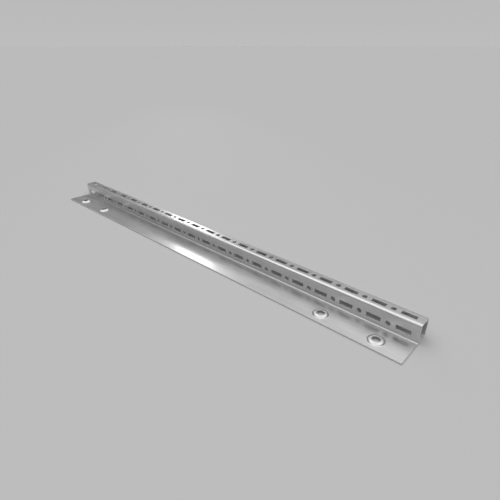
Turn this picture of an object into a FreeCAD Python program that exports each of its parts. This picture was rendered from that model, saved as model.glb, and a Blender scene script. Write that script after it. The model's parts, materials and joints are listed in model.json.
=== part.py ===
import FreeCAD, Part
import math
import os

from FreeCAD import Vector

# Rack mounting rail: one strip of zinc-plated sheet steel, punched flat, embossed at the fixing
# holes and folded three times into a flange, a web, a top and a rear leg.
# The rail runs along X, the flange lies on the XY plane and reaches towards -Y, and +Z is up.
# The origin is at the middle of the underside of the rail's bounding box. Sizes are in millimetres.

# Folded section: the flange reaches from its free edge to the front of the web, the channel is
# measured over its outside, and the rear leg stops short of the plane of the flange's underside.
rail_length = 500.0
rail_height = 18.0
flange_reach = 28.5
channel_width = 14.5
sheet = 1.5
bend_radius = 1.0
leg_clearance = 1.5

# Punched rows on the web and on the top: the top's row lies on the middle of the channel, and the
# web's row stands at its own height over the flange's underside.
pitch = 25.0
slot_length = 12.5
slot_width = 4.5
round_hole_diameter = 4.5
web_row_height = 7.5

# Embossed fixing holes in the flange, a pair near each end: the emboss rises from its foot by a
# cone and a rounded shoulder to a flat land, and the hole goes through the land.
fixing_hole_diameter = 7.0
emboss_foot_diameter = 14.0
emboss_height = 1.5
emboss_flank_angle = 50.0
emboss_shoulder_radius = 3.0
fixing_end_distance = 25.0
fixing_spacing = 50.0
fixing_edge_distance = 10.7

# Places that follow from the sizes above
outer_radius = bend_radius + sheet
flange_edge = -(flange_reach + channel_width) / 2
web_front = flange_edge + flange_reach
leg_back = web_front + channel_width
top_row = web_front + channel_width / 2
fixing_row = flange_edge + fixing_edge_distance
punch_stroke = 3 * sheet


def arc(centre, radius, start, end):
    """An arc in the YZ plane, with its angles in degrees from +Y towards +Z."""
    points = []
    for degrees in (start, (start + end) / 2, end):
        angle = math.radians(degrees)
        points.append(centre + Vector(0, radius * math.cos(angle), radius * math.sin(angle)))
    return Part.Arc(*points).toShape()


def closed_face(arcs_and_corners):
    """A face in the YZ plane whose outline joins arcs and corner points in turn with straight edges."""
    edges = []
    ends = []
    for item in arcs_and_corners:
        if isinstance(item, Vector):
            ends.append((item, item))
        else:
            ends.append((item.valueAt(item.FirstParameter), item.valueAt(item.LastParameter)))
    for index, item in enumerate(arcs_and_corners):
        if not isinstance(item, Vector):
            edges.append(item)
        here = ends[index][1]
        following = ends[(index + 1) % len(ends)][0]
        if not here.isEqual(following, 1e-9):
            edges.append(Part.makeLine(here, following))
    return Part.Face(Part.Wire(edges))


def folded_strip():
    """The unpunched rail: the folded section drawn with its three bends and extruded along X."""
    flange_bend = Vector(0, web_front - bend_radius, outer_radius)
    front_bend = Vector(0, web_front + outer_radius, rail_height - outer_radius)
    rear_bend = Vector(0, leg_back - outer_radius, rail_height - outer_radius)
    section = closed_face([
        Vector(0, flange_edge, 0),
        Vector(0, flange_edge, sheet),
        arc(flange_bend, bend_radius, -90, 0),
        arc(front_bend, outer_radius, 180, 90),
        arc(rear_bend, outer_radius, 90, 0),
        Vector(0, leg_back, leg_clearance),
        Vector(0, leg_back - sheet, leg_clearance),
        arc(rear_bend, bend_radius, 0, 90),
        arc(front_bend, bend_radius, 90, 180),
        arc(flange_bend, outer_radius, 0, -90),
    ])
    strip = section.extrude(Vector(rail_length, 0, 0))
    strip.translate(Vector(-rail_length / 2, 0, 0))
    return strip


def embossed_disc():
    """The raised disc of a fixing hole, turned about Z: a flat land, a rounded shoulder and a cone
    that keeps the sheet's thickness over the hollow beneath it. The shoulder ends at the foot."""
    flank = math.radians(emboss_flank_angle)
    foot = emboss_foot_diameter / 2
    shoulder_radius = min(emboss_shoulder_radius, emboss_height / (1 - math.cos(flank)))
    cone_height = emboss_height - shoulder_radius * (1 - math.cos(flank))
    land = foot - cone_height / math.tan(flank) - shoulder_radius * math.sin(flank)
    hollow_foot = foot - sheet * math.tan(flank / 2)
    hollow_land = hollow_foot - emboss_height / math.tan(flank)
    top = emboss_height + sheet
    shoulder = Vector(0, land, top - shoulder_radius)
    profile = closed_face([
        Vector(0, 0, top),
        arc(shoulder, shoulder_radius, 90, 90 - emboss_flank_angle),
        Vector(0, foot, sheet),
        Vector(0, foot, 0),
        Vector(0, hollow_foot, 0),
        Vector(0, hollow_land, emboss_height),
        Vector(0, 0, emboss_height),
    ])
    return profile.revolve(Vector(0, 0, 0), Vector(0, 0, 1), 360)


def slot_punch():
    """A square-cornered punch standing along Z, centred on the origin."""
    corner = Vector(-slot_length / 2, -slot_width / 2, -punch_stroke / 2)
    return Part.makeBox(slot_length, slot_width, punch_stroke, corner)


def round_punch(diameter, stroke):
    """A round punch standing along Z, centred on the origin."""
    return Part.makeCylinder(diameter / 2, stroke, Vector(0, 0, -stroke / 2))


def row_of(count):
    """Places along X of a row at the pitch, centred on the rail."""
    return [(index - (count - 1) / 2) * pitch for index in range(count)]


def punched_row():
    """The punches of one row: a slot in each pitch and a round hole between neighbouring slots."""
    slots = int(rail_length // pitch)
    punches = []
    for x in row_of(slots):
        punches.append(slot_punch().translated(Vector(x, 0, 0)))
    for x in row_of(slots - 1):
        punches.append(round_punch(round_hole_diameter, punch_stroke).translated(Vector(x, 0, 0)))
    return Part.makeCompound(punches)


def punch_rows(strip):
    """Cuts the same row into the web and into the top."""
    top_punches = punched_row()
    top_punches.translate(Vector(0, top_row, rail_height - sheet / 2))
    web_punches = punched_row()
    web_punches.rotate(Vector(0, 0, 0), Vector(1, 0, 0), 90)
    web_punches.translate(Vector(0, web_front + sheet / 2, web_row_height))
    return strip.cut(top_punches).cut(web_punches)


def emboss_fixing_holes(strip):
    """Raises a disc round each fixing hole of the flange and punches the hole through it."""
    outer = rail_length / 2 - fixing_end_distance
    inner = outer - fixing_spacing
    for x in (-outer, -inner, inner, outer):
        place = Vector(x, fixing_row, 0)
        blank = round_punch(emboss_foot_diameter, punch_stroke)
        strip = strip.cut(blank.translated(place))
        strip = strip.fuse(embossed_disc().translated(place))
        hole = round_punch(fixing_hole_diameter, 2 * (emboss_height + punch_stroke))
        strip = strip.cut(hole.translated(place))
    return strip.removeSplitter()


rail = emboss_fixing_holes(punch_rows(folded_strip()))

os.makedirs("parts", exist_ok=True)
rail.exportStep("parts/mounting_rail.step")
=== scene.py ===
import json
import math

import bpy
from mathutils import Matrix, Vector


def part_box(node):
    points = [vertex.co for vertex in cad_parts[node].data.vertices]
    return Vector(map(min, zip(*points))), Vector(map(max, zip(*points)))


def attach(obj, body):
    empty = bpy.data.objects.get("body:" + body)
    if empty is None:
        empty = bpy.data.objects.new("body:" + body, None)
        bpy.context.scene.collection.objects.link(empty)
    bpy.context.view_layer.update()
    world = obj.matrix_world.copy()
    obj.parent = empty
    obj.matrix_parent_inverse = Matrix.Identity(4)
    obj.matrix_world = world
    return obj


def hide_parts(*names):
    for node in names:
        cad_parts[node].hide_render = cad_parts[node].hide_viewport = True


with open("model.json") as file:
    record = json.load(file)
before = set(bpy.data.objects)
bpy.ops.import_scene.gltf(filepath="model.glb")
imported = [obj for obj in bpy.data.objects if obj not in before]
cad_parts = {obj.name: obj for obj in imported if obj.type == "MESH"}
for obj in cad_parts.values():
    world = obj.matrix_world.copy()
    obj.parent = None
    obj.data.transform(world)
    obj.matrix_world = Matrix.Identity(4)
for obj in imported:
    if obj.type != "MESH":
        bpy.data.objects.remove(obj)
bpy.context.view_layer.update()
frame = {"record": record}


# Rail: one strip of zinc-plated cold-rolled steel, 1.5 mm thick and half a metre long.
# The blank is punched and embossed flat, then folded three times into a flange, a web, a top and
# a rear leg, and plated last, so the cut edges carry zinc too.
low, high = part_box("mounting_rail")
mounts = {mount["name"]: mount for mount in frame["record"]["mounts"]}
web_hole = mounts["web_row_end_holes"]
top_hole = mounts["top_row_end_holes"]
fixing_pair = mounts["fixing_holes_right"]
mm_per_metre = 1000

rail_length = high.x - low.x
sheet = 0.0015
bend_radius = 0.001
leg_clearance = 0.0015
outer_radius = bend_radius + sheet
web_front = web_hole["pos_m"][1]

pitch = 0.025
slot_length = 0.0125
slot_width = 0.0045
slot_count = round(rail_length / pitch)
fixing_count = fixing_pair["dims"]["count"]
emboss_foot_radius = 0.007
emboss_flank = math.radians(50)
emboss_shoulder_radius = 0.003
emboss_heel_radius = 0.0005
emboss_height = fixing_pair["pos_m"][2] - sheet

# The mesh keeps narrow flat rows beside the folds and round the openings, so that the flats stay
# flat in the light and the punched edges take an even lip. The steps set how finely the folds, the
# round holes, the embossed rings and the roundings of their section are divided.
fold_row = 0.0003
edge_row = 0.0004
fold_steps = 12
hole_steps = 32
emboss_steps = 64
rounding_steps = 6
weld_distance = 1e-6
edge_lip = 0.00012
lip_segments = 2
lip_angle = math.radians(60)

# A free edge has one face beside it and any other edge has two, so the limit lies between.
free_edge_limit = 1.5

rail_sizes = {
    "Length": rail_length,
    "Pitch": pitch,
    "Slots": slot_count,
    "Flange": web_front - bend_radius - fold_row - low.y - edge_row,
    "Web": high.z - outer_radius - sheet - bend_radius - 2 * fold_row,
    "Top": high.y - web_front - 2 * outer_radius - 2 * fold_row,
    "Leg": high.z - outer_radius - fold_row - leg_clearance - edge_row,
    "Inner Radius": bend_radius,
    "Outer Radius": outer_radius,
    "Fold Steps": fold_steps,
    "Fold Row": fold_row,
    "Edge Row": edge_row,
    "Slot Length": slot_length,
    "Slot Width": slot_width,
    "Hole Radius": web_hole["dims"]["hole_r_mm"] / mm_per_metre,
    "Hole Steps": hole_steps,
    "Web Row": web_hole["pos_m"][2] - sheet - bend_radius - fold_row,
    "Top Row": top_hole["pos_m"][1] - web_front - outer_radius - fold_row,
    "Fixing Row": fixing_pair["pos_m"][1] - low.y - edge_row,
    "Fixing Place": fixing_pair["pos_m"][0],
    "Fixing Spacing": fixing_pair["dims"]["spacing_x_mm"] / mm_per_metre,
    "Fixing Radius": fixing_pair["dims"]["hole_r_mm"] / mm_per_metre,
    "Emboss Foot": emboss_foot_radius,
    "Emboss Height": emboss_height,
    "Emboss Slope": math.tan(emboss_flank),
    "Shoulder Radius": emboss_shoulder_radius,
    "Heel Radius": emboss_heel_radius,
    "Emboss Steps": emboss_steps,
    "Rounding Steps": rounding_steps,
}

tree = bpy.data.node_groups.new("folded_rail", "GeometryNodeTree")
tree.interface.new_socket("Rail", in_out="OUTPUT", socket_type="NodeSocketGeometry")
rail_sockets = {}
for size_name, size in rail_sizes.items():
    socket_type = "NodeSocketInt" if isinstance(size, int) else "NodeSocketFloat"
    rail_sockets[size_name] = tree.interface.new_socket(
        size_name, in_out="INPUT", socket_type=socket_type)
given = tree.nodes.new("NodeGroupInput").outputs


def put(target, kind, inputs=None, **settings):
    """Adds a node to a tree and feeds its inputs with plain values or with other nodes' outputs."""
    made = target.nodes.new(kind)
    for name, setting in settings.items():
        setattr(made, name, setting)
    for name, value in (inputs or {}).items():
        if isinstance(value, bpy.types.NodeSocket):
            target.links.new(value, made.inputs[name])
        else:
            made.inputs[name].default_value = value
    return made


def maths(target, operation, *terms):
    """The result of one step of arithmetic."""
    return put(target, "ShaderNodeMath", dict(enumerate(terms)), operation=operation).outputs[0]


def vector(x=0.0, y=0.0, z=0.0):
    """Three lengths as one place or step."""
    return put(tree, "ShaderNodeCombineXYZ", {"X": x, "Y": y, "Z": z}).outputs[0]


def place_parts():
    """The X, Y and Z of each point."""
    place = put(tree, "GeometryNodeInputPosition").outputs[0]
    return put(tree, "ShaderNodeSeparateXYZ", {0: place}).outputs


def join(*parts):
    """Several pieces of geometry as one."""
    joined = tree.nodes.new("GeometryNodeJoinGeometry")
    for part in parts:
        tree.links.new(part, joined.inputs[0])
    return joined.outputs[0]


def shift(geometry, place, turn=(0.0, 0.0, 0.0)):
    """Geometry turned about the origin and then moved."""
    moved = put(tree, "GeometryNodeTransform",
                {"Geometry": geometry, "Translation": place, "Rotation": turn})
    return moved.outputs[0]


def strip(width, rows=1.0):
    """Flat sheet from Y = 0 to its width, cut across at each pitch and just inside both ends.
    Its grid starts a pitch too long at each end, and the outer columns are drawn in to the ends."""
    extra_pitches = 2.0
    half_length = maths(tree, "MULTIPLY", given["Length"], 0.5)
    grid = put(tree, "GeometryNodeMeshGrid", {
        "Size X": maths(tree, "MULTIPLY_ADD", given["Pitch"], extra_pitches, given["Length"]),
        "Size Y": width,
        "Vertices X": maths(tree, "ADD", given["Slots"], extra_pitches + 1.0),
        "Vertices Y": maths(tree, "ADD", rows, 1.0),
    })
    place = place_parts()
    from_middle = maths(tree, "ABSOLUTE", place["X"])
    past_end = maths(tree, "MULTIPLY_ADD", given["Pitch"], 0.5, half_length)
    inside = maths(tree, "LESS_THAN", from_middle, past_end)
    edge_row_step = maths(tree, "MULTIPLY", given["Edge Row"], inside)
    limit = maths(tree, "SUBTRACT", half_length, edge_row_step)
    side = maths(tree, "SIGN", place["X"])
    column = maths(tree, "MULTIPLY", side, maths(tree, "MINIMUM", from_middle, limit))
    row = maths(tree, "MULTIPLY_ADD", width, 0.5, place["Y"])
    placed = put(tree, "GeometryNodeSetPosition",
                 {"Geometry": grid.outputs[0], "Position": vector(column, row)})
    return placed.outputs[0]


def face_up(mesh):
    """The mesh with every face turned towards +Z."""
    normal = put(tree, "GeometryNodeInputNormal").outputs[0]
    upright = put(tree, "ShaderNodeSeparateXYZ", {0: normal}).outputs["Z"]
    turned = put(tree, "GeometryNodeFlipFaces",
                 {"Mesh": mesh, "Selection": maths(tree, "LESS_THAN", upright, 0.0)})
    return turned.outputs[0]


def free_edge():
    """Whether an edge is a free one."""
    faces_beside = put(tree, "GeometryNodeInputMeshEdgeNeighbors").outputs[0]
    return maths(tree, "LESS_THAN", faces_beside, free_edge_limit)


def punched_panel(width, openings):
    """A flat part of the strip, filled round its openings' rims."""
    sheet_row = strip(width)
    half_length = maths(tree, "MULTIPLY", given["Length"], 0.5)
    inner_end = maths(tree, "SUBTRACT", half_length, given["Edge Row"])
    from_middle = maths(tree, "ABSOLUTE", place_parts()["X"])
    inside = maths(tree, "LESS_THAN", from_middle, inner_end)
    parted = put(tree, "GeometryNodeSeparateGeometry",
                 {"Geometry": sheet_row, "Selection": inside}, domain="FACE")
    outline = put(tree, "GeometryNodeMeshToCurve",
                  {"Mesh": parted.outputs["Selection"], "Selection": free_edge()})
    rims = put(tree, "GeometryNodeSeparateComponents", {0: openings}).outputs
    outlines = join(outline.outputs[0], rims["Curve"])
    filled = put(tree, "GeometryNodeFillCurve", {"Curve": outlines})
    return join(face_up(filled.outputs[0]), face_up(rims["Mesh"]), parted.outputs["Inverted"])


def row_of(opening, count, spacing, y):
    """Copies of an opening along X, centred on the rail."""
    half_spacing = maths(tree, "MULTIPLY", spacing, 0.5)
    first = maths(tree, "MULTIPLY", maths(tree, "SUBTRACT", 1.0, count), half_spacing)
    line = put(tree, "GeometryNodeMeshLine",
               {"Count": count, "Start Location": vector(first, y), "Offset": vector(spacing)})
    copies = put(tree, "GeometryNodeInstanceOnPoints",
                 {"Points": line.outputs[0], "Instance": opening})
    return put(tree, "GeometryNodeRealizeInstances", {0: copies.outputs[0]}).outputs[0]


def circle(radius, steps):
    """A round outline about the origin."""
    made = put(tree, "GeometryNodeCurvePrimitiveCircle", {"Radius": radius, "Resolution": steps})
    return made.outputs[0]


def rectangle(length, width):
    """A rectangular outline about the origin."""
    made = put(tree, "GeometryNodeCurvePrimitiveQuadrilateral", {"Width": length, "Height": width})
    return made.outputs[0]


def rim(outline, outward, outer_outline):
    """A row of faces round an opening, with the outline that the panel is filled up to."""
    edge = put(tree, "GeometryNodeCurveToMesh", {"Curve": outline})
    ring = put(tree, "GeometryNodeExtrudeMesh",
               {"Mesh": edge.outputs[0], "Offset Scale": 0.0}, mode="EDGES")
    step = put(tree, "ShaderNodeVectorMath",
               {0: outward, "Scale": given["Edge Row"]}, operation="SCALE")
    spread = put(tree, "GeometryNodeSetPosition", {
        "Geometry": ring.outputs["Mesh"],
        "Selection": ring.outputs["Top"],
        "Offset": step.outputs[0],
    })
    return join(spread.outputs[0], outer_outline)


def wider(size):
    """A size across an opening, with the edge row added on both sides."""
    return maths(tree, "ADD", size, maths(tree, "MULTIPLY", given["Edge Row"], 2.0))


def slot_opening():
    """A square-cornered slot."""
    place = put(tree, "GeometryNodeInputPosition").outputs[0]
    corner = put(tree, "ShaderNodeVectorMath", {0: place}, operation="SIGN").outputs[0]
    outer = rectangle(wider(given["Slot Length"]), wider(given["Slot Width"]))
    return rim(rectangle(given["Slot Length"], given["Slot Width"]), corner, outer)


def round_opening():
    """A plain round hole."""
    place = put(tree, "GeometryNodeInputPosition").outputs[0]
    radial = put(tree, "ShaderNodeVectorMath", {0: place}, operation="NORMALIZE").outputs[0]
    outer = circle(maths(tree, "ADD", given["Hole Radius"], given["Edge Row"]), given["Hole Steps"])
    return rim(circle(given["Hole Radius"], given["Hole Steps"]), radial, outer)


def embossed_opening():
    """A fixing hole in its raised ring: land, shoulder, cone and heel, swept round a circle.
    The sweep turns the section's -Y up."""
    shoulder_corner = 1.0
    land_edge = maths(tree, "SUBTRACT", given["Emboss Foot"],
                      maths(tree, "DIVIDE", given["Emboss Height"], given["Emboss Slope"]))
    outer_edge = maths(tree, "ADD", given["Emboss Foot"], given["Edge Row"])
    radii = (given["Fixing Radius"], land_edge, given["Emboss Foot"], outer_edge)
    reach = [maths(tree, "SUBTRACT", radius, given["Fixing Radius"]) for radius in radii]
    raised = maths(tree, "MULTIPLY", given["Emboss Height"], -1.0)
    section = put(tree, "GeometryNodeCurvePrimitiveQuadrilateral", {
        "Point 1": vector(reach[0], raised),
        "Point 2": vector(reach[1], raised),
        "Point 3": vector(reach[2], 0.0),
        "Point 4": vector(reach[3], 0.0),
    }, mode="POINTS")
    opened = put(tree, "GeometryNodeSetSplineCyclic",
                 {"Geometry": section.outputs[0], "Cyclic": False})
    corner = put(tree, "GeometryNodeInputIndex").outputs[0]
    rounding = put(tree, "GeometryNodeSwitch", {
        "Switch": maths(tree, "GREATER_THAN", corner, shoulder_corner),
        "False": given["Shoulder Radius"],
        "True": given["Heel Radius"],
    }, input_type="FLOAT")
    rounded = put(tree, "GeometryNodeFilletCurve", {
        "Curve": opened.outputs[0],
        "Radius": rounding.outputs[0],
        "Count": given["Rounding Steps"],
    }, mode="POLY")
    swept = put(tree, "GeometryNodeCurveToMesh", {
        "Curve": circle(given["Fixing Radius"], given["Emboss Steps"]),
        "Profile Curve": rounded.outputs[0],
    })
    return join(swept.outputs[0], circle(outer_edge, given["Emboss Steps"]))


def follow(panel, width, rest):
    """A panel with the rest of the strip joined to its far side."""
    return join(panel, shift(rest, vector(0.0, width)))


def fold(rest, radius, upward):
    """A right-angled fold at Y = 0, with the rest of the strip carried on at its end."""
    first_row = strip(given["Fold Row"])
    bend = strip(math.pi / 2, given["Fold Steps"])
    place = place_parts()
    across = maths(tree, "SINE", place["Y"])
    lift = maths(tree, "SUBTRACT", 1.0, maths(tree, "COSINE", place["Y"]))
    rise = maths(tree, "MULTIPLY", radius, upward)
    along = maths(tree, "MULTIPLY_ADD", radius, across, given["Fold Row"])
    bent = put(tree, "GeometryNodeSetPosition", {
        "Geometry": bend,
        "Position": vector(place["X"], along, maths(tree, "MULTIPLY", rise, lift)),
    })
    carried = follow(strip(given["Fold Row"]), given["Fold Row"], rest)
    end = vector(0.0, maths(tree, "ADD", radius, given["Fold Row"]), rise)
    quarter_turn = (upward * math.pi / 2, 0.0, 0.0)
    return join(first_row, bent.outputs[0], shift(carried, end, quarter_turn))


def punched_row(y):
    """A slot in each pitch and a round hole between neighbouring slots."""
    holes = maths(tree, "SUBTRACT", given["Slots"], 1.0)
    return join(row_of(slot_opening(), given["Slots"], given["Pitch"], y),
                row_of(round_opening(), holes, given["Pitch"], y))


leg = follow(strip(given["Leg"]), given["Leg"], strip(given["Edge Row"]))
top_panel = punched_panel(given["Top"], punched_row(given["Top Row"]))
top = follow(top_panel, given["Top"], fold(leg, given["Outer Radius"], upward=-1.0))
web_panel = punched_panel(given["Web"], punched_row(given["Web Row"]))
web = follow(web_panel, given["Web"], fold(top, given["Outer Radius"], upward=-1.0))
fixing_holes = []
for side in (-1.0, 1.0):
    pair = row_of(embossed_opening(), fixing_count, given["Fixing Spacing"], given["Fixing Row"])
    fixing_holes.append(shift(pair, vector(maths(tree, "MULTIPLY", given["Fixing Place"], side))))
flange_panel = punched_panel(given["Flange"], join(*fixing_holes))
flange = follow(flange_panel, given["Flange"], fold(web, given["Inner Radius"], upward=1.0))
blank = follow(strip(given["Edge Row"]), given["Edge Row"], flange)

welded = put(tree, "GeometryNodeMergeByDistance", {"Geometry": blank, "Distance": weld_distance})
marked = put(tree, "GeometryNodeStoreNamedAttribute",
             {"Geometry": welded.outputs[0], "Name": "cut_edge", "Value": free_edge()},
             data_type="FLOAT", domain="POINT")
smooth = put(tree, "GeometryNodeSetShadeSmooth", {0: marked.outputs[0]})
placed = shift(smooth.outputs[0], (0.0, low.y, sheet))

# The finish: satin zinc under the thin clear film that the passivating bath leaves. The zinc gives
# a soft reflection and scatters a little light, and the film adds a faint sharper reflection.
# Rolling marks run along the strip, punched lips are rubbed bright, and the sheared walls are dull.
plate_dark, plate_light = 0.58, 0.655
lip_level, wall_level = 0.70, 0.60
metal_share, wall_metal_share = 0.90, 0.33
plate_roughness = (0.33, 0.38)
rolling_roughness = 0.02
lip_polish, wall_dullness = 0.08, 0.40
film_weight = 1.0
film_ior = 1.5
film_roughness = 0.12
cloud_weight, streak_weight = 0.4, 0.6
grain_weight = 0.6
relief_depth, relief_strength = 0.00002, 0.15
noise_low, noise_high = 0.3, 0.7
noise_roughness = 0.6

# The cut_edge mark is 1 on the sheared walls and falls to 0 across the row of faces beside them.
lip_start, lip_full = 0.3, 0.75
wall_start, wall_full = 0.97, 1.0

zinc = bpy.data.materials.new("zinc_plated_steel")
zinc.use_nodes = True
zinc_tree = zinc.node_tree
shader = zinc_tree.nodes["Principled BSDF"]
surface_place = put(zinc_tree, "ShaderNodeTexCoord").outputs["Object"]


def mapped_noise(stretch, scale, detail):
    """Cloudy variation, drawn out along X by the stretch."""
    drawn = put(zinc_tree, "ShaderNodeMapping",
                {"Vector": surface_place, "Scale": (1 / stretch, 1.0, 1.0)})
    noise = put(zinc_tree, "ShaderNodeTexNoise", {
        "Vector": drawn.outputs[0],
        "Scale": scale,
        "Detail": detail,
        "Roughness": noise_roughness,
    })
    return noise.outputs[0]


def ranged(value, from_low, from_high, to_low, to_high):
    """A value moved from one range to another, smoothly and within its ends."""
    made = put(zinc_tree, "ShaderNodeMapRange", {
        "Value": value,
        "From Min": from_low,
        "From Max": from_high,
        "To Min": to_low,
        "To Max": to_high,
    }, interpolation_type="SMOOTHSTEP")
    return made.outputs[0]


def grey(level):
    """A neutral colour."""
    return (level, level, level, 1.0)


def blended(amount, first, second):
    """Two colours mixed by an amount, through the mixer's own sockets for colour."""
    amount_input, first_input, second_input, colour_output = 0, 6, 7, 2
    mix = put(zinc_tree, "ShaderNodeMix",
              {amount_input: amount, first_input: first, second_input: second}, data_type="RGBA")
    return mix.outputs[colour_output]


clouds = mapped_noise(stretch=2.5, scale=110.0, detail=4.0)
streaks = mapped_noise(stretch=30.0, scale=420.0, detail=3.0)
rolling = mapped_noise(stretch=60.0, scale=1900.0, detail=3.0)
grain = mapped_noise(stretch=1.0, scale=5200.0, detail=2.0)
cut_edge = put(zinc_tree, "ShaderNodeAttribute", attribute_name="cut_edge").outputs["Fac"]
rubbed_lip = ranged(cut_edge, lip_start, lip_full, 0.0, 1.0)
cut_wall = ranged(cut_edge, wall_start, wall_full, 0.0, 1.0)

cloud_part = ranged(clouds, noise_low, noise_high, 0.0, cloud_weight)
streak_part = ranged(streaks, noise_low, noise_high, 0.0, streak_weight)
brightness = maths(zinc_tree, "ADD", cloud_part, streak_part)
plate_colour = blended(brightness, grey(plate_dark), grey(plate_light))
lip_colour = blended(rubbed_lip, plate_colour, grey(lip_level))
zinc_colour = blended(cut_wall, lip_colour, grey(wall_level))
zinc_tree.links.new(zinc_colour, shader.inputs["Base Color"])

plate_sheen = ranged(clouds, noise_low, noise_high, *plate_roughness)
rolling_sheen = ranged(rolling, noise_low, noise_high, -rolling_roughness, rolling_roughness)
sheen = maths(zinc_tree, "ADD", plate_sheen, rolling_sheen)
lip_sheen = maths(zinc_tree, "MULTIPLY_ADD", rubbed_lip, -lip_polish, sheen)
zinc_sheen = maths(zinc_tree, "MULTIPLY_ADD", cut_wall, wall_dullness, lip_sheen)
zinc_tree.links.new(zinc_sheen, shader.inputs["Roughness"])
metal_part = ranged(cut_edge, wall_start, wall_full, metal_share, wall_metal_share)
zinc_tree.links.new(metal_part, shader.inputs["Metallic"])
shader.inputs["Coat Weight"].default_value = film_weight
shader.inputs["Coat IOR"].default_value = film_ior
shader.inputs["Coat Roughness"].default_value = film_roughness
relief = maths(zinc_tree, "MULTIPLY_ADD", grain, grain_weight, rolling)
bump = put(zinc_tree, "ShaderNodeBump",
           {"Height": relief, "Strength": relief_strength, "Distance": relief_depth})
zinc_tree.links.new(bump.outputs[0], shader.inputs["Normal"])

finished = put(tree, "GeometryNodeSetMaterial", {"Geometry": placed, "Material": zinc})
put(tree, "NodeGroupOutput", {0: finished.outputs[0]})

# The folded strip is the sheet's upper skin. It is thickened downwards, its cut edges take their
# lip, and the result is kept as a plain mesh.
former = bpy.data.objects.new("rail_former", bpy.data.meshes.new("rail_former"))
bpy.context.scene.collection.objects.link(former)
folding = former.modifiers.new("folded_rail", "NODES")
folding.node_group = tree
for size_name, socket in rail_sockets.items():
    folding[socket.identifier] = rail_sizes[size_name]
thickness = former.modifiers.new("thickness", "SOLIDIFY")
thickness.thickness = sheet
thickness.offset = -1.0
thickness.use_even_offset = True
thickness.use_quality_normals = True
lip = former.modifiers.new("lip", "BEVEL")
lip.width = edge_lip
lip.segments = lip_segments
lip.limit_method = "ANGLE"
lip.angle_limit = lip_angle
lip.harden_normals = True

formed = former.evaluated_get(bpy.context.evaluated_depsgraph_get())
rail_mesh = bpy.data.meshes.new_from_object(formed)
rail_mesh.name = "rail"
rail = bpy.data.objects.new("rail", rail_mesh)
bpy.context.scene.collection.objects.link(rail)
bpy.data.objects.remove(former)
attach(rail, "root")
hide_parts("mounting_rail")


# Floor: one plain board painted a pale matt grey, which the rail lies on.
# It is wide enough to run out to the horizon, so that no edge of it shows.
floor_half = 40.0
floor_level = 0.525
floor_roughness = 0.9
floor_specular = 0.2
floor_mesh = bpy.data.meshes.new("floor")
floor_corners = [(-floor_half, -floor_half, 0), (floor_half, -floor_half, 0),
                 (floor_half, floor_half, 0), (-floor_half, floor_half, 0)]
floor_mesh.from_pydata(floor_corners, [], [(0, 1, 2, 3)])
floor = bpy.data.objects.new("floor", floor_mesh)
bpy.context.scene.collection.objects.link(floor)
board = bpy.data.materials.new("pale_board")
board.use_nodes = True
board_shader = board.node_tree.nodes["Principled BSDF"]
board_shader.inputs["Base Color"].default_value = grey(floor_level)
board_shader.inputs["Roughness"].default_value = floor_roughness
board_shader.inputs["Specular IOR Level"].default_value = floor_specular
floor_mesh.materials.append(board)


# Studio light: a wide ring of soft light overhead, dim walls below it and a pale strip along the
# horizon that meets the floor. A tall narrow lamp far behind the rail's left end draws a gleam
# across the flange and the top.
overhead_light = 1.72
horizon_to_zenith = [
    (0.00, 0.51),
    (0.09, 0.49),
    (0.22, 0.13),
    (0.46, 0.13),
    (0.55, 0.28),
    (0.65, 0.86),
    (0.75, 1.62),
    (0.85, overhead_light),
    (0.92, 1.56),
    (1.00, 0.70),
]
world = bpy.data.worlds.new("studio")
world.use_nodes = True
room = world.node_tree
sky_place = put(room, "ShaderNodeTexCoord").outputs["Generated"]
sky_height = put(room, "ShaderNodeSeparateXYZ", {0: sky_place}).outputs["Z"]
room_light = put(room, "ShaderNodeValToRGB", {0: sky_height})
stops = room_light.color_ramp.elements
while len(stops) < len(horizon_to_zenith):
    stops.new(1.0)
for stop, (height, light) in zip(stops, horizon_to_zenith):
    stop.position = height
    stop.color = grey(light / overhead_light)
room.links.new(room_light.outputs[0], room.nodes["Background"].inputs["Color"])
room.nodes["Background"].inputs["Strength"].default_value = overhead_light
bpy.context.scene.world = world

gleam_turn = math.radians(51.5)
gleam_distance = 1.6
gleam_height = 0.76
gleam_width, gleam_length = 0.2, 0.8
gleam_watts = 0.067
gleam_spread = math.radians(30)
gleam_place = Vector((-gleam_distance * math.sin(gleam_turn),
                      gleam_distance * math.cos(gleam_turn), gleam_height))
gleam_lamp = bpy.data.lights.new("gleam_lamp", "AREA")
gleam_lamp.shape = "RECTANGLE"
gleam_lamp.size = gleam_width
gleam_lamp.size_y = gleam_length
gleam_lamp.energy = gleam_watts
gleam_lamp.spread = gleam_spread
gleam_box = bpy.data.objects.new("gleam_box", gleam_lamp)
gleam_box.location = gleam_place
gleam_box.rotation_euler = (-gleam_place).to_track_quat("-Z", "Y").to_euler()
gleam_box.visible_camera = False
bpy.context.scene.collection.objects.link(gleam_box)


# Camera: a wide lens in front of the rail's right end, a little beyond it and 0.2 m over the floor.
# It looks down and to the left, along the rail to its far end.
camera_place = (0.3158, -0.2513, 0.2016)
camera_tilt = math.radians(62.765)
camera_turn = math.radians(42.562)
sensor_width = 36.0
focal_length = 28.75
camera = bpy.data.cameras.new("camera")
camera.sensor_width = sensor_width
camera.lens = focal_length
camera_object = bpy.data.objects.new("camera", camera)
camera_object.location = camera_place
camera_object.rotation_euler = (camera_tilt, 0.0, camera_turn)
bpy.context.scene.collection.objects.link(camera_object)
bpy.context.scene.camera = camera_object

bpy.context.scene.view_settings.view_transform = "Standard"
